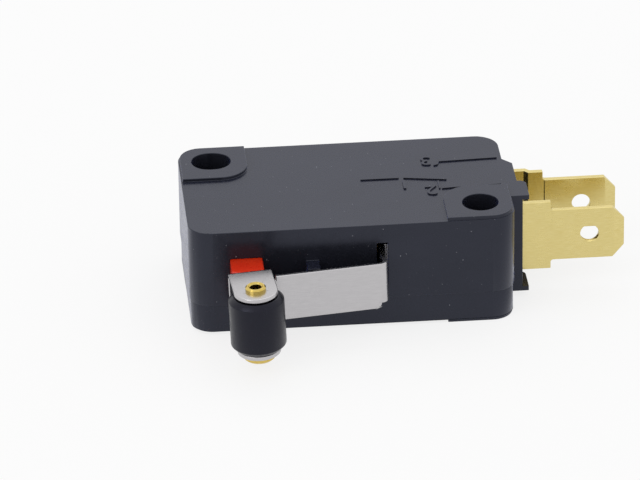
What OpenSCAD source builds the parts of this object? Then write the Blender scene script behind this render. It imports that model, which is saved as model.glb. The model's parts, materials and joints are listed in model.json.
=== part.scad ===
// Miniature snap-action switch with a short hinge roller lever.
// The switch lies on a large face. X runs along the case towards the two
// end tabs, Y runs from the plunger face to the far face and Z is up.
// The origin is on the axis of the round mounting hole, in the plane of
// the lower mounting pads. All sizes are in millimetres.

/* [Case] */
// Length of the case between its two ends
case_length = 27.8; // [24:0.1:32]
// Depth of the case from the plunger face to the far face
case_depth = 15.9; // [14:0.1:18]
// Thickness over the raised mounting pads
case_thickness = 10; // [9:0.1:11]
// Height of the raised mounting pads on both large faces
pad_height = 0.275; // [0.1:0.025:0.5]
// Height of the joint between cover and case above the lower pads
parting_height = 2.8; // [2:0.1:3.5]
// Radius of the four upright corners
corner_radius = 2; // [0.5:0.1:3]
// Thickness of the side walls
wall = 1.2; // [0.8:0.1:1.6]
// Thickness of the roof and of the cover floor
skin = 1.1; // [0.8:0.1:1.6]

/* [Mounting holes] */
// Diameter of the mounting holes
hole_diameter = 3.1; // [2.5:0.05:3.5]
// Distance between the two holes along the case
hole_span_x = 22.2; // [20:0.1:24]
// Distance between the two holes across the case
hole_span_y = 10.3; // [9:0.1:11]
// Distance from a hole axis to the nearest case edges
hole_edge = 2.8; // [2.4:0.1:3.4]
// Extra length of the far hole along the case
hole_slot = 0.3; // [0:0.05:0.6]

/* [Plunger] */
// Distance from the round hole to the plunger, along the case
plunger_offset = 20.2; // [18:0.1:22]
// Width of the plunger along the case
plunger_width = 2.75; // [2:0.05:3.5]
// Free height of the plunger in front of the plunger face
plunger_free = 2.64; // [2:0.02:3]
// Radius of the crowned plunger tip
plunger_crown = 2.2; // [1.5:0.1:3]

/* [Lever] */
// Angle between the lever at rest and the plunger face
lever_angle = 4; // [0:0.5:12]
// Angle by which the lever leans in the play of its slot
lever_lean = 2; // [0:0.5:3]
// Thickness of the lever strip
lever_thickness = 0.4; // [0.3:0.05:0.6]
// Width of the lever strip
lever_width = 4.2; // [3.5:0.1:5]
// Distance from the lever pivot to the roller axis along the strip
lever_reach = 11.6; // [8:0.1:16]
// Distance from the lever pivot to the back of the strip
lever_offset = 2.15; // [1.5:0.05:3]

/* [Roller] */
// Diameter of the roller
roller_diameter = 4.7; // [3.5:0.1:6]
// Length of the roller
roller_length = 4.85; // [3.5:0.05:6]
// Chamfer at both roller ends
roller_chamfer = 0.4; // [0.1:0.05:0.8]

/* [Terminals] */
// Width of the tab blades
tab_width = 4.75; // [4:0.05:6.35]
// Width of the tab roots
tab_root = 6.35; // [5:0.05:7]
// Thickness of the terminals
tab_thickness = 0.5; // [0.4:0.05:0.8]
// Reach of the end tabs from the round hole
tab_reach = 12.75; // [10:0.05:15]
// Diameter of the hole in each tab
tab_hole = 1.6; // [1:0.1:2]

/* [Hidden] */
$fn = 48;

// Case limits in plan
left = hole_edge - case_length;
right = hole_edge;
near = -hole_edge;
far = case_depth - hole_edge;
mid_x = (left + right) / 2;
mid_y = (near + far) / 2;
mid_z = case_thickness / 2;

// Levels of the main faces and of the two cavities
low_face = pad_height;
high_face = case_thickness - pad_height;
floor_top = low_face + skin;
roof_under = high_face - skin;

hole_r = hole_diameter / 2;
boss_r = hole_r + 1.15;
seam = 0.1;          // the cover is this much smaller than the case
slack = 0.03;        // clearance round terminals and moving pieces
over = 1;            // how far a cutter runs past a face

// Mounting pads
pad_x = 5.85;
pad_y = 6;
pad_corner = 2.4;
pad_inset = 0.15;

// Ridge that carries the end tabs
ridge_near = near + 4.1;
ridge_far = near + 7;
ridge_end = right + 1;
lip_end = right + 1.55;
lip_thickness = 0.42;
ridge_low = 0.55;
step_end = right + 0.8;
step_far = near + 10.4;
step_foot = near + 11.3;

// Stop that the lever meets at the end of its travel
stop_x = -15.1;
stop_width = 1.05;
stop_reach = 1.55;
stop_low = 3.3;
stop_high = 6.7;

// Lever pivot in its slot and the lever's own sizes
pivot_x = -8.65;
pivot_y = near + 0.3;
lever_z = mid_z + 0.1;
lever_half = lever_width / 2;
lever_front = lever_offset + lever_thickness;
bend_r = 0.3;
leg_low = 1.6;
leg_end = 0.7;
hook_reach = 1.6;
ear_top = 2.91;
ear_r = 1.85;
ear_bend = 0.2;
roller_out = 5.96;
notch_width = 0.3;
notch_depth = 0.35;
lever_slot_width = 1;
lever_slot_top = 8;

// Rivet through the roller
barrel_r = 0.75;
rivet_bore_r = 0.5;
rivet_head_r = 0.87;
rivet_head = 0.36;
rivet_flange_r = 1.05;
rivet_flange = 0.26;
roller_play = 0.05;

// Plunger
plunger_x = -plunger_offset;
plunger_low = parting_height + 0.05;
plunger_high = 7.2;
flange_width = 4.4;
flange_depth = 0.8;
stem_width = 2.2;
stem_low = 3.6;
stem_high = 6.4;
nose_r = 0.8;
nose_y = 4.1;

// Contact levels in the depth of the case
nc_y = near + 5.6;
no_y = near + 11.4;
no_joggle = 0.35;
contact_x = -2.2;
arm_half = 1.8;
arm_end = -3.7;
shoulder_x = right - 1.8;
inner_no_y = 7;
fixed_head_r = 1.3;
fixed_head = 0.8;
rivet_shank_r = 0.7;
rivet_back_r = 1;
rivet_back = 0.3;

// Snap mechanism
knife_y = 5.6;
knife_x = -12.9;
trip_y = 5.8;
trip_x = knife_x - tab_thickness;
blade_thickness = 0.3;
blade_angle = -4.3;
trip_angle = 6;
rail_low = 3.1;
rail_width = 0.8;
blade_plate = 7;
blade_reach = 12;
trip_plate = 4.2;
trip_reach = 7.9;
moving_r = 1;
moving_head = 0.45;
groove_r = blade_thickness / 2 + slack;

// Common terminal
com_x = -10.7;
com_low = mid_z - tab_thickness / 2;
com_reach = 8;
com_inner = 7.8;
wing_near = 4.9;
wing_gap = 1;
wing_high = 2.9;

// Snap spring
wire_r = 0.2;
wire_fn = 14;
coil_r = 0.7;
coil_pitch = 0.38;
coil_turns = 24;
blade_hook = 8;
trip_hook = 4.6;

// Rectangle between two corners
module area(x0, y0, x1, y1) {
    translate([x0, y0]) square([x1 - x0, y1 - y0]);
}

// Box between two corners
module block(a, b) {
    translate(a) cube(b - a);
}

// Plan of the case, drawn in by a given amount
module case_plan(inset = 0) {
    r = corner_radius - inset;
    area(left + inset + r, near + inset, right - inset - r, far - inset);
    area(left + inset, near + inset + r, right - inset, far - inset - r);
    for (x = [left + corner_radius, right - corner_radius],
         y = [near + corner_radius, far - corner_radius])
        translate([x, y]) circle(r);
}

// Plan of the space inside the walls
module cavity_plan() {
    area(left + wall, near + wall, right - wall, far - wall);
}

// Repeats a shape at the opposite corner of the case
module at_both_corners() {
    children();
    translate([2 * mid_x, 2 * mid_y]) rotate(180) children();
}

// Plans of the two mounting pads
module pad_plan() {
    intersection() {
        case_plan(pad_inset);
        at_both_corners() {
            area(left, far - pad_y + pad_corner, left + pad_x, far);
            area(left, far - pad_y, left + pad_x - pad_corner, far);
            translate([left + pad_x - pad_corner, far - pad_y + pad_corner])
                circle(pad_corner);
        }
    }
}

// Round hole at the origin and the longer hole at the far corner
module hole_plan() {
    circle(hole_r);
    for (side = [-1, 1])
        translate([side * hole_slot / 2 - hole_span_x, hole_span_y]) circle(hole_r);
    area(-hole_slot / 2 - hole_span_x, hole_span_y - hole_r,
         hole_slot / 2 - hole_span_x, hole_span_y + hole_r);
}

module boss_plan() {
    circle(boss_r);
    translate([-hole_span_x, hole_span_y]) circle(boss_r);
}

// Plan of the ridge out to a given end, with its far corner rounded
module ridge_plan(end) {
    r = 0.6;
    area(right - over, ridge_near, end - r, ridge_far);
    area(right - over, ridge_near, end, ridge_far - r);
    translate([end - r, ridge_far - r]) circle(r);
}

module step_plan() {
    polygon([[right - over, ridge_far - over], [step_end, ridge_far - over],
             [step_end, step_far], [right, step_foot], [right - over, step_foot]]);
}

// Spaces that the end terminals pass through
module terminal_slots() {
    half = tab_root / 2 + slack;
    arm = arm_half + slack;
    for (y = [nc_y, no_y + no_joggle]) {
        block([shoulder_x - slack, y - slack, mid_z - half],
              [lip_end + over, y + tab_thickness + slack, mid_z + half]);
        block([shoulder_x - over, y - slack, mid_z - arm],
              [right, y + tab_thickness + slack, mid_z + arm]);
    }
}

module lever_stop() {
    block([stop_x, near - stop_reach, stop_low],
          [stop_x + stop_width, near + wall / 2, stop_high]);
}

module case() {
    difference() {
        union() {
            difference() {
                translate([0, 0, parting_height])
                    linear_extrude(high_face - parting_height) case_plan();
                translate([0, 0, parting_height - over])
                    linear_extrude(roof_under - parting_height + over) cavity_plan();
            }
            translate([0, 0, high_face]) linear_extrude(pad_height) pad_plan();
            // sleeves round the mounting holes
            intersection() {
                translate([0, 0, parting_height])
                    linear_extrude(high_face - parting_height) boss_plan();
                translate([0, 0, parting_height])
                    linear_extrude(high_face - parting_height) case_plan();
            }
            // ridge with a lip above and below the near tab
            difference() {
                union() {
                    translate([0, 0, ridge_low])
                        linear_extrude(high_face - ridge_low) {
                            ridge_plan(ridge_end);
                            step_plan();
                        }
                    for (z = [ridge_low, high_face - lip_thickness])
                        translate([0, 0, z])
                            linear_extrude(lip_thickness) ridge_plan(lip_end);
                }
                block([right - 2 * over, near, ridge_low - over],
                      [right, far, parting_height]);
            }
            lever_stop();
            // block that holds the two end terminals apart
            block([shoulder_x - 0.8, nc_y + 1, parting_height],
                  [right - wall / 2, no_y - 0.3, roof_under + slack]);
        }
        translate([0, 0, -over])
            linear_extrude(case_thickness + 2 * over) hole_plan();
        // plunger opening
        block([plunger_x - plunger_width / 2 - slack, near - over, parting_height - over],
              [plunger_x + plunger_width / 2 + slack, near + wall + over,
               plunger_high + slack]);
        // lever slot
        block([pivot_x - lever_slot_width / 2, near - over, parting_height - over],
              [pivot_x + lever_slot_width / 2, near + wall + over, lever_slot_top]);
        // common terminal slot
        block([com_x - tab_width / 2 - slack, far - wall - over, parting_height - over],
              [com_x + tab_width / 2 + slack, far + over,
               com_low + tab_thickness + slack]);
        terminal_slots();
    }
}

module cover() {
    difference() {
        union() {
            difference() {
                translate([0, 0, low_face])
                    linear_extrude(parting_height - low_face) case_plan(seam);
                translate([0, 0, floor_top])
                    linear_extrude(parting_height - floor_top + over) cavity_plan();
            }
            linear_extrude(pad_height) pad_plan();
            intersection() {
                translate([0, 0, low_face])
                    linear_extrude(parting_height - low_face) boss_plan();
                translate([0, 0, low_face])
                    linear_extrude(parting_height - low_face) case_plan(seam);
            }
            // rib that closes the slot below the common terminal
            block([com_x - tab_width / 2, far - wall, floor_top],
                  [com_x + tab_width / 2, far - seam, com_low - slack]);
        }
        translate([0, 0, -over]) linear_extrude(case_thickness) hole_plan();
        terminal_slots();
    }
}

module plunger() {
    tip = near - plunger_free;
    half = plunger_width / 2;
    // crowned front end that the lever presses
    translate([0, 0, plunger_low])
        linear_extrude(plunger_high - plunger_low)
            intersection() {
                area(plunger_x - half, tip, plunger_x + half, near + wall);
                union() {
                    translate([plunger_x, tip + plunger_crown]) circle(plunger_crown);
                    area(plunger_x - half, tip + plunger_crown,
                         plunger_x + half, near + wall);
                }
            }
    // flange that keeps it in the case
    block([plunger_x - flange_width / 2, near + wall + 0.05, plunger_low],
          [plunger_x + flange_width / 2, near + wall + 0.05 + flange_depth,
           plunger_high + 0.5]);
    block([plunger_x - half, near + wall - slack, plunger_low],
          [plunger_x + half, near + wall + 0.1, plunger_high]);
    // stem with a round nose that moves the trip arm
    translate([0, 0, stem_low])
        linear_extrude(stem_high - stem_low) {
            area(plunger_x - stem_width / 2, near + wall + flange_depth,
                 plunger_x + stem_width / 2, nose_y - 0.6);
            area(plunger_x - nose_r, nose_y - 0.7, plunger_x + nose_r, nose_y);
            translate([plunger_x, nose_y]) circle(nose_r);
        }
}

// Places a shape, drawn at the pivot with the lever closed, at rest
module at_lever() {
    translate([pivot_x, pivot_y, lever_z])
        rotate([0, -lever_lean, 0]) rotate([0, 0, lever_angle]) children();
}

// Quarter of a ring in one of the four corners of its square
module bend(inner, thickness, sx, sy) {
    outer = inner + thickness;
    intersection() {
        difference() {
            circle(outer);
            circle(inner);
        }
        scale([sx, sy]) square(outer + over);
    }
}

module lever() {
    t = lever_thickness;
    mid = bend_r + t / 2;
    ear_left = -lever_reach - ear_r;
    ear_right = -lever_reach + ear_r;
    at_lever() {
        difference() {
            union() {
                // strip in front of the case
                translate([0, 0, -lever_half]) linear_extrude(lever_width)
                    area(ear_left, -lever_front, -mid, -lever_offset);
                // bend into the slot, leg and hook behind the wall
                translate([0, 0, -leg_low]) linear_extrude(lever_half + leg_low) {
                    translate([-mid, -lever_front + bend_r + t])
                        bend(bend_r, t, 1, -1);
                    area(-t / 2, -lever_front + bend_r + t, t / 2, leg_end);
                    translate([mid, leg_end]) bend(bend_r, t, -1, 1);
                    area(mid, leg_end + bend_r, hook_reach, leg_end + bend_r + t);
                }
                // two ears folded forward over the roller ends
                for (side = [-1, 1])
                    scale([1, 1, side]) {
                        translate([ear_left, -lever_offset - ear_bend - t,
                                   ear_top - ear_bend - t])
                            rotate([90, 0, 90])
                                linear_extrude(2 * ear_r) bend(ear_bend, t, 1, 1);
                        translate([ear_left, -lever_front, 0])
                            cube([2 * ear_r, t, ear_top - ear_bend - t]);
                        translate([0, 0, ear_top - t]) linear_extrude(t) {
                            area(ear_left, -roller_out, ear_right,
                                 -lever_offset - ear_bend - t);
                            translate([-lever_reach, -roller_out]) circle(ear_r);
                        }
                    }
            }
            // bore for the rivet
            translate([-lever_reach, -roller_out, -ear_top - over])
                cylinder(r = barrel_r, h = 2 * (ear_top + over));
            // relief notches beside the ears
            for (z = [-lever_half - over, lever_half - notch_depth])
                translate([ear_right, -lever_front - over, z])
                    cube([notch_width, 2 * over + t, notch_depth + over]);
            // rounded lower corner beside the bend
            translate([-mid, -lever_front - over, -lever_half])
                rotate([-90, 0, 0])
                    linear_extrude(2 * over + t)
                        difference() {
                            area(-0.5, -0.5, over, over);
                            translate([-0.5, -0.5]) circle(0.5);
                        }
        }
    }
}

module roller() {
    r = roller_diameter / 2;
    half = roller_length / 2;
    at_lever()
        translate([-lever_reach, -roller_out, 0])
            rotate_extrude()
                polygon([[barrel_r + roller_play, -half],
                         [r - roller_chamfer, -half],
                         [r, -half + roller_chamfer],
                         [r, half - roller_chamfer],
                         [r - roller_chamfer, half],
                         [barrel_r + roller_play, half]]);
}

module roller_rivet() {
    at_lever()
        translate([-lever_reach, -roller_out, 0])
            rotate_extrude()
                polygon([[rivet_bore_r, -ear_top - rivet_flange],
                         [rivet_flange_r, -ear_top - rivet_flange],
                         [rivet_flange_r, -ear_top],
                         [barrel_r, -ear_top],
                         [barrel_r, ear_top],
                         [rivet_head_r, ear_top],
                         [rivet_head_r, ear_top + rivet_head - 0.12],
                         [rivet_head_r - 0.12, ear_top + rivet_head],
                         [rivet_bore_r + 0.12, ear_top + rivet_head],
                         [rivet_bore_r, ear_top + rivet_head - 0.12]]);
}

// Face of a tab blade with its root, seen square on, along +X
module tab_face(start, tip) {
    root_end = tip - 6.35;
    cut = 1;
    round_r = 0.25;
    difference() {
        union() {
            area(start, -tab_root / 2, root_end, tab_root / 2);
            polygon([[root_end - over, -tab_width / 2], [tip - cut, -tab_width / 2],
                     [tip, -tab_width / 2 + 1.1 * cut],
                     [tip, tab_width / 2 - 1.1 * cut],
                     [tip - cut, tab_width / 2], [root_end - over, tab_width / 2]]);
            // fillets between root and blade
            for (side = [-1, 1])
                scale([1, side])
                    difference() {
                        area(root_end - 0.01, tab_width / 2 - 0.01,
                             root_end + round_r, tab_width / 2 + round_r);
                        translate([root_end + round_r, tab_width / 2 + round_r])
                            circle(round_r);
                    }
        }
        translate([tip - 3, 0]) circle(tab_hole / 2);
    }
}

// Outline of a blade seen on edge: flat, then coined thinner at the tip
module tab_edge(start, tip) {
    t = tab_thickness;
    polygon([[start, 0], [tip - 0.9, 0], [tip, t / 4], [tip, 3 * t / 4],
             [tip - 0.9, t], [start, t]]);
}

// Turns a face drawn in X and Y up into X and Z, through a given depth
module upright(depth) {
    translate([0, depth, 0]) rotate([90, 0, 0]) linear_extrude(depth) children();
}

module nc_terminal() {
    difference() {
        translate([0, nc_y, mid_z])
            intersection() {
                upright(tab_thickness) {
                    tab_face(shoulder_x, tab_reach);
                    area(arm_end, -arm_half, shoulder_x + over, arm_half);
                }
                translate([0, 0, -tab_root])
                    linear_extrude(2 * tab_root) tab_edge(arm_end, tab_reach);
            }
        contact_hole();
    }
}

// Edge outline of the far terminal, with its two joggles
module no_edge() {
    t = tab_thickness;
    back = no_y + no_joggle;
    polygon([[arm_end, inner_no_y], [-0.6, inner_no_y], [0.7, back],
             [right + 2, back], [right + 2.3, no_y], [tab_reach - 0.9, no_y],
             [tab_reach, no_y + t / 4], [tab_reach, no_y + 3 * t / 4],
             [tab_reach - 0.9, no_y + t], [right + 2.45, no_y + t],
             [right + 2.15, back + t], [0.45, back + t],
             [-0.85, inner_no_y + t], [arm_end, inner_no_y + t]]);
}

module no_terminal() {
    difference() {
        intersection() {
            translate([0, 0, mid_z])
                translate([0, near, 0])
                    upright(case_depth) {
                        tab_face(shoulder_x, tab_reach);
                        area(arm_end, -arm_half, shoulder_x + over, arm_half);
                    }
            linear_extrude(case_thickness) no_edge();
        }
        contact_hole();
    }
}

// Hole for the contact rivets through both end terminals
module contact_hole() {
    translate([contact_x, near, mid_z]) rotate([-90, 0, 0])
        cylinder(r = rivet_shank_r, h = case_depth);
}

// Contact rivet along +Y: head in front of a plate of given thickness
module contact_rivet() {
    t = tab_thickness;
    rotate([-90, 0, 0]) {
        translate([0, 0, -fixed_head]) rotate_extrude()
            polygon([[0, 0], [fixed_head_r - 0.15, 0], [fixed_head_r, 0.15],
                     [fixed_head_r, fixed_head], [0, fixed_head]]);
        cylinder(r = rivet_shank_r, h = t);
        translate([0, 0, t]) cylinder(r = rivet_back_r, h = rivet_back);
    }
}

module nc_contact() {
    translate([contact_x, nc_y + tab_thickness, mid_z])
        rotate([0, 0, 180]) contact_rivet();
}

module no_contact() {
    translate([contact_x, inner_no_y, mid_z]) contact_rivet();
}

// Common terminal: flat tab through the far wall and two upright wings
module com_terminal() {
    t = tab_thickness;
    tip = far + com_reach;
    half = tab_width / 2;
    difference() {
        union() {
            intersection() {
                translate([com_x, 0, com_low])
                    linear_extrude(t)
                        difference() {
                            polygon([[-half, com_inner], [half, com_inner],
                                     [half, tip - 1], [half - 1.1, tip],
                                     [1.1 - half, tip], [-half, tip - 1]]);
                            translate([0, tip - 3]) circle(tab_hole / 2);
                        }
                translate([com_x + half, 0, com_low])
                    rotate([90, 0, -90])
                        linear_extrude(tab_width)
                            polygon([[-com_inner, 0], [-tip + 0.9, 0], [-tip, t / 4],
                                     [-tip, 3 * t / 4], [-tip + 0.9, t],
                                     [-com_inner, t]]);
            }
            // plate edge that the wings are folded from
            block([trip_x, com_inner, com_low],
                  [com_x, far - wall, com_low + t]);
            com_wing(1, com_inner);
            com_wing(-1, com_inner + 1.9);
        }
        // grooves that both arms turn in
        for (p = [[knife_x, knife_y], [trip_x, trip_y]])
            translate([p[0], p[1], 0]) cylinder(r = groove_r, h = case_thickness);
    }
}

// Wing folded up (1) or down (-1), reaching forward past the spring
module com_wing(side, root) {
    translate([0, 0, mid_z]) scale([1, 1, side]) {
        block([trip_x, wing_near, wing_gap], [knife_x, root + 1.7, wing_high]);
        block([trip_x, root, -tab_thickness / 2], [knife_x, root + 1.7, wing_gap + 0.1]);
    }
}

// Rails and plate of an arm drawn along +X from its pivot
module arm(plate, reach) {
    t = blade_thickness;
    high = 2 * mid_z - rail_low;
    for (z = [rail_low, high - rail_width])
        translate([0, 0, z]) linear_extrude(rail_width) {
            circle(t / 2);
            area(0, -t / 2, plate + 0.1, t / 2);
        }
    block([plate, -t / 2, rail_low], [reach, t / 2, high]);
}

module contact_blade() {
    t = blade_thickness;
    translate([knife_x, knife_y, 0]) rotate([0, 0, blade_angle])
        difference() {
            arm(blade_plate, blade_reach);
            for (p = [[blade_hook, 0.35], [contact_x - knife_x, rivet_shank_r]])
                translate([p[0], -t, mid_z]) rotate([-90, 0, 0])
                    cylinder(r = p[1], h = 2 * t);
        }
}

module moving_contact() {
    t = blade_thickness;
    translate([knife_x, knife_y, mid_z]) rotate([0, 0, blade_angle])
        translate([contact_x - knife_x, 0, 0]) rotate([-90, 0, 0]) {
            cylinder(r = rivet_shank_r, h = t, center = true);
            for (side = [-1, 1])
                translate([0, 0, side * (t + moving_head) / 2])
                    cylinder(r = moving_r, h = moving_head, center = true);
        }
}

module trip_arm() {
    t = blade_thickness;
    translate([trip_x, trip_y, 0]) rotate([0, 0, 180 + trip_angle])
        difference() {
            arm(trip_plate, trip_reach);
            translate([trip_hook, -t, mid_z]) rotate([-90, 0, 0])
                cylinder(r = 0.35, h = 2 * t);
        }
}

// Close-wound tension spring between the trip arm and the contact blade
module snap_spring() {
    a = [trip_x - trip_hook * cos(trip_angle), trip_y - trip_hook * sin(trip_angle)];
    b = [knife_x + blade_hook * cos(blade_angle), knife_y + blade_hook * sin(blade_angle)];
    span = norm(b - a);
    coil = coil_pitch * (coil_turns - 1);
    lift = 0.42;
    translate([a[0], a[1], mid_z])
        rotate([0, 0, atan2(b[1] - a[1], b[0] - a[0])]) {
            translate([(span - coil) / 2, 0, 0]) rotate([0, 90, 0])
                rotate_extrude($fn = 14)
                    for (i = [0:coil_turns - 1])
                        translate([coil_r, i * coil_pitch]) circle(wire_r, $fn = wire_fn);
            for (end = [0, 1])
                translate([end * span, 0, 0]) scale([1 - 2 * end, 1, 1]) {
                    translate([0, lift, 0]) rotate([0, 90, 0])
                        cylinder(r = wire_r, h = (span - coil) / 2 + coil_pitch / 2, $fn = wire_fn);
                    translate([0, lift, 0]) sphere(wire_r, $fn = wire_fn);
                    translate([0, -0.45, 0]) rotate([-90, 0, 0])
                        cylinder(r = wire_r, h = 0.45 + lift, $fn = wire_fn);
                    // radial wire from the last turn to the hook
                    translate([(span - coil) / 2, lift, 0]) rotate([-90, 0, 0])
                        cylinder(r = wire_r, h = coil_r - lift, $fn = wire_fn);
                }
        }
}

color("#2b2c31") case();
color("#303136") cover();
color("#c02810") plunger();
color("#b3b2b4") lever();
color("#333237") roller();
color("#c9a94f") roller_rivet();
color("#c8b97e") com_terminal();
color("#c8b97e") nc_terminal();
color("#bda652") no_terminal();
color("#d5d5d2") nc_contact();
color("#d5d5d2") no_contact();
color("#b87a4a") contact_blade();
color("#d5d5d2") moving_contact();
color("#b98a58") trip_arm();
color("#9a9ca0") snap_spring();
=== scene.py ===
"""Looks of a miniature snap-action switch with a hinge roller lever.

All places are in metres in the frame of the CAD model: the origin is on the
axis of the round mounting hole, in the plane of the lower mounting pads.
X runs along the case, Y from the plunger face to the far face, Z is up.
"""

import json
from math import cos, pi, radians, sin

import bmesh
import bpy
from mathutils import Matrix, Quaternion, Vector


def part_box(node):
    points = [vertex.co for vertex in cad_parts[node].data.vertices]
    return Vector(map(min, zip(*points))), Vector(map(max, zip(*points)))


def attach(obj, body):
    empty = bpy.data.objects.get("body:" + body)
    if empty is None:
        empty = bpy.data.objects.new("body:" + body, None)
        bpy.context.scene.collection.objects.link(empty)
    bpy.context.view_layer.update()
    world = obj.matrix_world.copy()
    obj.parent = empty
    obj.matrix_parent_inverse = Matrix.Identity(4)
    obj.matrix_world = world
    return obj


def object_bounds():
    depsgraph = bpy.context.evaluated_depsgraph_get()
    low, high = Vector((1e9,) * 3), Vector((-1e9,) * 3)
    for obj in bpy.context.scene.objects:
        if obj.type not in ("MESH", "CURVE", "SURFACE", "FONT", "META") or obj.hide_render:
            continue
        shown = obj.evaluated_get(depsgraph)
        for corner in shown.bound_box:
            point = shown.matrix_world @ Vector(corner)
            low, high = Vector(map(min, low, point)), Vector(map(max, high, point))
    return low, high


MM = 0.001

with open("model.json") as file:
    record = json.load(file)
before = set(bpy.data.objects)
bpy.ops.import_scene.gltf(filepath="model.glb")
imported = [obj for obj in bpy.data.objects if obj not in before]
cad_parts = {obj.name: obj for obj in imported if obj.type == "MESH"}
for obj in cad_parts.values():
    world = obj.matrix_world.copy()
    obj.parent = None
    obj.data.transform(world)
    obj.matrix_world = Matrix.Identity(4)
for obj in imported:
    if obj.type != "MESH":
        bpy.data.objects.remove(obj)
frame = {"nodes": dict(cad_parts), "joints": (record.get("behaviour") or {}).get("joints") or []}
cad_box = [list(corner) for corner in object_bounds()]
cad = frame["nodes"]


# ---------------------------------------------------------------- camera

VIEW_TARGET = Vector((-13.303, 4.965, 4.577)) * MM
VIEW_DISTANCE = 500 * MM
VIEW_YAW = radians(-4.63)
VIEW_ELEVATION = radians(27.437)
VIEW_ROLL = radians(-0.87)
LENS_MM = 327.25
SENSOR_MM = 36


def make_camera():
    """Long lens, looking down on the plunger face."""
    data = bpy.data.cameras.new("camera")
    data.lens = LENS_MM
    data.sensor_width = SENSOR_MM
    camera = bpy.data.objects.new("camera", data)
    bpy.context.scene.collection.objects.link(camera)
    back = Vector((sin(VIEW_YAW) * cos(VIEW_ELEVATION),
                   -cos(VIEW_YAW) * cos(VIEW_ELEVATION),
                   sin(VIEW_ELEVATION)))
    camera.rotation_mode = "QUATERNION"
    camera.rotation_quaternion = (
        back.to_track_quat("Z", "Y") @ Quaternion((0, 0, 1), VIEW_ROLL))
    camera.location = VIEW_TARGET + back * VIEW_DISTANCE
    bpy.context.scene.camera = camera


make_camera()


# ---------------------------------------------------------- node helpers

def linear(code):
    """sRGB hex colour as the linear RGBA that shaders take."""
    channels = []
    for start in (1, 3, 5):
        value = int(code[start:start + 2], 16) / 255
        if value <= 0.04045:
            channels.append(value / 12.92)
        else:
            channels.append(((value + 0.055) / 1.055) ** 2.4)
    return (*channels, 1)


def add(tree, kind, inputs=None, **settings):
    """Adds a node, gives it its settings, and sets or links its inputs."""
    made = tree.nodes.new("ShaderNode" + kind)
    for name, value in settings.items():
        setattr(made, name, value)
    for name, value in (inputs or {}).items():
        if isinstance(value, bpy.types.NodeSocket):
            tree.links.new(value, made.inputs[name])
        else:
            made.inputs[name].default_value = value
    return made


def new_material(name, **constants):
    """Material with a Principled shader; constants go on its own sockets."""
    material = bpy.data.materials.new(name)
    material.use_nodes = True
    tree = material.node_tree
    shader = tree.nodes["Principled BSDF"]
    for socket, value in constants.items():
        shader.inputs[socket.replace("_", " ")].default_value = value
    return material, tree, shader


def grain(tree, size, stretch=(1, 1, 1), detail=3, roughness=0.55):
    """Noise whose blotches are about size metres across, drawn out by stretch."""
    place = add(tree, "TexCoord").outputs["Object"]
    scaled = add(tree, "Mapping", {"Vector": place,
                                   "Scale": [1 / s for s in stretch]})
    return add(tree, "TexNoise", {"Vector": scaled.outputs["Vector"],
                                  "Scale": 1 / size, "Detail": detail,
                                  "Roughness": roughness}).outputs["Fac"]


# spans of a noise's values: nearly all of them, and the middle ones
WIDE_SPAN = (0.3, 0.7)
MIDDLE_SPAN = (0.35, 0.65)


def dress(tree, shader, tone_grain, span, tones, rough_grain, roughness,
          dent_grain, depth):
    """Leads a shader's colour, roughness and dents by grain patterns.

    The colour goes from the first tone to the second as tone_grain crosses
    the span. The depth of the dents is the real one in metres.
    """
    share = add(tree, "MapRange", {"Value": tone_grain, "From Min": span[0],
                                   "From Max": span[1]}).outputs["Result"]
    # 6 and 7 are the colour inputs of this node, and output 2 is its colour
    tone = add(tree, "Mix", {0: share, 6: linear(tones[0]), 7: linear(tones[1])},
               data_type="RGBA").outputs[2]
    tree.links.new(tone, shader.inputs["Base Color"])
    rough = add(tree, "MapRange", {
        "Value": rough_grain, "From Min": WIDE_SPAN[0], "From Max": WIDE_SPAN[1],
        "To Min": roughness[0], "To Max": roughness[1]}).outputs["Result"]
    tree.links.new(rough, shader.inputs["Roughness"])
    dents = add(tree, "Bump", {"Height": dent_grain, "Distance": depth,
                               "Strength": 1.0}).outputs["Normal"]
    tree.links.new(dents, shader.inputs["Normal"])
    return tone


# ------------------------------------------------------------- materials

DUST_SPAN = (0.79, 0.82)
SCUFF_SPAN = (0.62, 0.75)
PATCHES_TO_STREAKS = 18


def moulded_pbt():
    """Black PBT from a fine spark-eroded mould: grey-blue sheen at a low
    angle, charcoal square on, faint flow clouds and a little white dust."""
    material, tree, shader = new_material(
        "black_moulded_pbt", IOR=1.46, Specular_Tint=linear("#dfe5ff"),
        Sheen_Weight=0.12, Sheen_Roughness=0.4, Sheen_Tint=linear("#8496ff"))
    flow_clouds = grain(tree, 4 * MM, stretch=(2, 1, 1))
    spark_texture = grain(tree, 0.07 * MM, detail=2)
    tone = dress(tree, shader, flow_clouds, MIDDLE_SPAN, ("#1a1b21", "#1e1f26"),
                 grain(tree, 0.6 * MM), (0.2, 0.29), spark_texture, 0.0006 * MM)
    dusty = add(tree, "MapRange", {
        "Value": grain(tree, 0.16 * MM, detail=1), "From Min": DUST_SPAN[0],
        "From Max": DUST_SPAN[1]}).outputs["Result"]
    dusted = add(tree, "Mix", {0: dusty, 6: tone, 7: linear("#a5a5ab")},
                 data_type="RGBA").outputs[2]
    tree.links.new(dusted, shader.inputs["Base Color"])
    return material


def plunger_plastic():
    """Red moulded plastic of the plunger: bright and fairly glossy."""
    material, tree, shader = new_material("red_moulded_pbt", IOR=1.5)
    dress(tree, shader, grain(tree, 1.2 * MM), MIDDLE_SPAN, ("#d92c0a", "#e1330d"),
          grain(tree, 0.3 * MM), (0.26, 0.34), grain(tree, 0.05 * MM), 0.00025 * MM)
    return material


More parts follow.
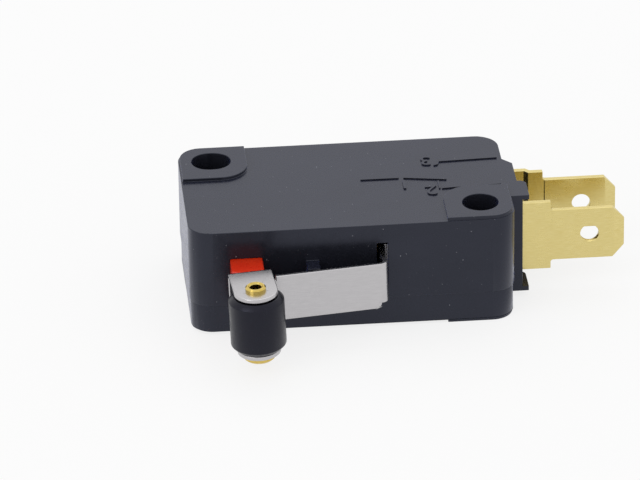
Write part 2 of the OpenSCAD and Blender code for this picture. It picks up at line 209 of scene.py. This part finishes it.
def roller_plastic():
    """Black turned acetal of the roller: satin, with fine turning rings and
    pale scuffs."""
    material, tree, shader = new_material(
        "black_acetal", IOR=1.48, Specular_IOR_Level=0.36,
        Specular_Tint=linear("#e0e2ff"))
    scuffs = grain(tree, 0.35 * MM, stretch=(1, 1, 2.5))
    turning_rings = grain(tree, 0.05 * MM, stretch=(6, 6, 1))
    dress(tree, shader, scuffs, SCUFF_SPAN, ("#0d0d12", "#1c1c23"),
          grain(tree, 0.4 * MM), (0.26, 0.4), turning_rings, 0.0008 * MM)
    return material


def rolled_metal(name, light, dark, size, stretch, roughness, depth):
    """Cold-rolled sheet: long hairline streaks along the rolling direction."""
    material, tree, shader = new_material(name, Metallic=1.0)
    streaks = grain(tree, size, stretch=stretch)
    patches = grain(tree, size * PATCHES_TO_STREAKS)
    dress(tree, shader, streaks, WIDE_SPAN, (dark, light), patches, roughness,
          streaks, depth)
    return material


def make_materials():
    """One material for each real finish, by a short name."""
    # stainless steel strip, cold rolled bright: soft grey mirror
    steel = rolled_metal("rolled_stainless_steel", "#bfbdbf", "#b9b7b9",
                         0.09 * MM, (14, 1, 1), (0.22, 0.28), 0.00025 * MM)
    # brass strip of the tabs: pale yellow, satin, streaked along the tab
    brass = rolled_metal("rolled_brass", "#dfcf90", "#d5c37f",
                         0.07 * MM, (12, 1, 1), (0.24, 0.34), 0.0004 * MM)
    # turned brass of the rivet: deeper yellow, brighter
    rivet = rolled_metal("turned_brass", "#dcc474", "#c9ac55",
                         0.08 * MM, (3, 3, 1), (0.14, 0.24), 0.0006 * MM)
    # silver alloy contacts: pale, dull
    silver = rolled_metal("silver_alloy", "#d9d7d2", "#c4c2bd",
                          0.12 * MM, (1, 1, 1), (0.28, 0.4), 0.0006 * MM)
    # beryllium copper blade: pinkish yellow, bright
    copper = rolled_metal("beryllium_copper", "#d0a468", "#c09257",
                          0.1 * MM, (10, 1, 1), (0.22, 0.32), 0.0005 * MM)
    # spring wire: drawn stainless steel
    wire = rolled_metal("drawn_steel_wire", "#b2b0ae", "#9b9997",
                        0.05 * MM, (4, 1, 1), (0.22, 0.34), 0.0004 * MM)
    return {"case": moulded_pbt(), "plunger": plunger_plastic(),
            "roller": roller_plastic(), "steel": steel, "brass": brass,
            "rivet": rivet, "silver": silver, "copper": copper, "wire": wire}


finish_of = make_materials()

NODE_FINISH = {
    "case": "case", "cover": "case", "plunger": "plunger", "lever": "steel",
    "roller": "roller", "roller_rivet": "rivet", "com_terminal": "brass",
    "nc_terminal": "brass", "no_terminal": "brass", "nc_contact": "silver",
    "no_contact": "silver", "contact_blade": "copper",
    "moving_contact": "silver", "trip_arm": "steel", "snap_spring": "wire",
}
for node_name, finish in NODE_FINISH.items():
    mesh = cad[node_name].data
    mesh.materials.clear()
    mesh.materials.append(finish_of[finish])

# edge rounding left by the mould or the press, which catches the light
EDGE_ROUNDING = {
    "case": 0.06 * MM, "cover": 0.06 * MM, "plunger": 0.14 * MM,
    "lever": 0.1 * MM, "com_terminal": 0.05 * MM,
    "nc_terminal": 0.05 * MM, "no_terminal": 0.05 * MM,
    "roller": 0.06 * MM,
}
EDGE_STEPS = 3
WELD_GAP = 0.002 * MM
SHARP_FROM = radians(35)


def round_edges(node_name, width):
    """Joins the mesh's faces and rounds its sharp edges."""
    weld = cad[node_name].modifiers.new("weld", "WELD")
    weld.merge_threshold = WELD_GAP
    bevel = cad[node_name].modifiers.new("edge_rounding", "BEVEL")
    bevel.width = width
    bevel.segments = EDGE_STEPS
    bevel.limit_method = "ANGLE"
    bevel.angle_limit = SHARP_FROM
    bevel.use_clamp_overlap = False
    bevel.harden_normals = True


for node_name, width in EDGE_ROUNDING.items():
    round_edges(node_name, width)


# -------------------------------------------------------- moulded marks

PAD_HEIGHT = 0.275 * MM
TOP_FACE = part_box("case")[1].z - PAD_HEIGHT
MARK_HEIGHT = 0.11 * MM
MARK_SINK = 0.02 * MM
LINE_WIDTH = 0.13 * MM
THIN_LINE = 0.07 * MM
DIGIT_SIZE = 2.3 * MM


def rib(shape, points, width, low, high):
    """Adds a bar with upright walls that follows the points in plan."""
    sides = []
    for i, point in enumerate(points):
        before = points[max(i - 1, 0)]
        after = points[min(i + 1, len(points) - 1)]
        along = (after - before).normalized()
        across = Vector((-along.y, along.x)) * width / 2
        sides.append((point + across, point - across))
    rings = []
    for a, b in sides:
        rings.append([shape.verts.new((*a, low)), shape.verts.new((*b, low)),
                      shape.verts.new((*b, high)), shape.verts.new((*a, high))])
    for first, second in zip(rings, rings[1:]):
        for i in range(4):
            j = (i + 1) % 4
            shape.faces.new((first[i], first[j], second[j], second[i]))
    shape.faces.new(reversed(rings[0]))
    shape.faces.new(rings[-1])


def finish_piece(shape, name, body, finish):
    """Turns a bmesh into a piece that rides on a body."""
    bmesh.ops.recalc_face_normals(shape, faces=shape.faces)
    mesh = bpy.data.meshes.new(name)
    shape.to_mesh(mesh)
    shape.free()
    piece = bpy.data.objects.new(name, mesh)
    bpy.context.scene.collection.objects.link(piece)
    mesh.materials.append(finish_of[finish])
    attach(piece, body)
    return piece


def circuit_symbol():
    """Raised diagram of a change-over contact on the upper face."""
    full = (LINE_WIDTH, MARK_HEIGHT)
    faint = (THIN_LINE, MARK_HEIGHT / 2)
    lines = [
        (full, [(-9.69, 5.71), (-6.4, 5.68)]),                 # lead of contact 1
        (full, [(-6.0, 5.66), (-2.35, 4.98)]),                 # moving arm
        (full, [(-2.92, 3.35), (-0.2, 3.54)]),                 # lead of contact 2
        (full, [(-3.1, 4.75), (-3.1, 3.35)]),                  # contact 2
        (full, [(-2.67, 8.45), (2.38, 8.65)]),                 # lead of contact 3
        (full, [(-2.67, 8.45), (-2.85, 7.9), (-3.15, 7.75)]),  # contact 3
        (faint, [(-0.2, 3.54), (2.2, 3.72)]),                  # lead 2 by the pad
    ]
    shape = bmesh.new()
    for (width, height), points in lines:
        rib(shape, [Vector(p) * MM for p in points], width,
            TOP_FACE - MARK_SINK, TOP_FACE + height)
    finish_piece(shape, "circuit_symbol", "body", "case")


def digit(text, x, y):
    """Raised plain number, read from the far side of the case."""
    font = bpy.data.curves.new("digit_" + text, "FONT")
    font.body = text
    font.size = DIGIT_SIZE
    font.align_x = "CENTER"
    font.align_y = "CENTER"
    font.extrude = (MARK_HEIGHT + MARK_SINK) / 2
    piece = bpy.data.objects.new("digit_" + text, font)
    bpy.context.scene.collection.objects.link(piece)
    piece.location = (x * MM, y * MM, TOP_FACE + (MARK_HEIGHT - MARK_SINK) / 2)
    piece.rotation_euler = (0, 0, pi)
    font.materials.append(finish_of["case"])
    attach(piece, "body")


circuit_symbol()
digit("1", -6.05, 4.5)
digit("2", -3.85, 3.15)
digit("3", -3.8, 8.75)


# ------------------------------------------------------------ rivet foot

EAR_UNDERSIDE = -2.91 * MM
FOOT_RADIUS = 1.35 * MM
FOOT_BORE = 0.52 * MM
FOOT_HEIGHT = 0.6 * MM
FOOT_CHAMFER = 0.15 * MM
ROUND_STEPS = 64


def turned(name, profile, centre, axis, body, finish):
    """Ring turned from a closed profile of radius and height pairs."""
    shape = bmesh.new()
    turn_to_axis = axis.to_track_quat("Z", "Y").to_matrix().to_4x4()
    place = Matrix.Translation(centre) @ turn_to_axis
    rings = []
    for step in range(ROUND_STEPS):
        turn = 2 * pi * step / ROUND_STEPS
        rings.append([shape.verts.new(place @ Vector((r * cos(turn), r * sin(turn), z)))
                      for r, z in profile])
    for ring, following in zip(rings, rings[1:] + rings[:1]):
        for i in range(len(profile)):
            j = (i + 1) % len(profile)
            shape.faces.new((ring[i], ring[j], following[j], following[i]))
    return finish_piece(shape, name, body, finish)


def rivet_foot():
    """Thick turned collar of the rivet under the lower ear."""
    low = EAR_UNDERSIDE - FOOT_HEIGHT
    profile = [(FOOT_BORE, EAR_UNDERSIDE), (FOOT_BORE, low + FOOT_CHAMFER),
               (FOOT_BORE + FOOT_CHAMFER, low), (FOOT_RADIUS - FOOT_CHAMFER, low),
               (FOOT_RADIUS, low + FOOT_CHAMFER), (FOOT_RADIUS, EAR_UNDERSIDE)]
    spin = next(j for j in frame["joints"] if j["name"] == "roller_spin")
    turned("rivet_foot", profile, Vector(spin["pos_m"]), Vector(spin["axis"]),
           "lever", "rivet")


rivet_foot()


# ------------------------------------------------------- light and floor

AMBIENT = 0.8
BACKDROP_SHARE = 0.8
FLOOR_SIZE = 1.5


def background_rays(tree):
    """1 for rays that see the background straight, in gloss or through glass."""
    path = add(tree, "LightPath").outputs
    seen = add(tree, "Math", {0: path["Is Camera Ray"], 1: path["Is Glossy Ray"]},
               operation="MAXIMUM").outputs[0]
    return add(tree, "Math", {0: seen, 1: path["Is Transmission Ray"]},
               operation="MAXIMUM").outputs[0]


def make_world():
    """White surroundings that light the object a little less than white."""
    world = bpy.data.worlds.new("studio")
    world.use_nodes = True
    tree = world.node_tree
    strength = add(tree, "MapRange", {
        "Value": background_rays(tree), "To Min": AMBIENT}).outputs["Result"]
    background = tree.nodes["Background"]
    background.inputs["Color"].default_value = (1, 1, 1, 1)
    tree.links.new(strength, background.inputs["Strength"])
    bpy.context.scene.world = world


def softbox(name, offset, size, power):
    """Square area lamp, at an offset from the middle of the case it faces."""
    data = bpy.data.lights.new(name, "AREA")
    data.size = size
    data.energy = power
    lamp = bpy.data.objects.new(name, data)
    bpy.context.scene.collection.objects.link(lamp)
    lamp.location = VIEW_TARGET + Vector(offset)
    lamp.rotation_mode = "QUATERNION"
    lamp.rotation_quaternion = (VIEW_TARGET - lamp.location).to_track_quat("-Z", "Y")


def make_floor():
    """Plain white floor that keeps a soft shadow."""
    shape = bmesh.new()
    bmesh.ops.create_grid(shape, x_segments=2, y_segments=2, size=FLOOR_SIZE)
    mesh = bpy.data.meshes.new("floor")
    shape.to_mesh(mesh)
    shape.free()
    floor = bpy.data.objects.new("floor", mesh)
    bpy.context.scene.collection.objects.link(floor)
    floor.location = (VIEW_TARGET.x, VIEW_TARGET.y, cad_box[0][2])
    material = bpy.data.materials.new("white_floor")
    material.use_nodes = True
    tree = material.node_tree
    tree.nodes.clear()
    lit = add(tree, "BsdfDiffuse", {"Color": linear("#f2f2f2")})
    glow = add(tree, "Emission", {"Color": (1, 1, 1, 1), "Strength": 1.0})
    share = add(tree, "MapRange", {
        "Value": background_rays(tree), "To Max": BACKDROP_SHARE}).outputs["Result"]
    mixed = add(tree, "MixShader", {0: share, 1: lit.outputs[0], 2: glow.outputs[0]})
    add(tree, "OutputMaterial", {"Surface": mixed.outputs[0]})
    mesh.materials.append(material)


make_world()
make_floor()
softbox("overhead", (0.05, 0.25, 0.45), size=0.4, power=0.35)
softbox("front_left", (-0.35, -0.3, 0.35), size=0.3, power=0.45)
bpy.context.scene.view_settings.view_transform = "Standard"
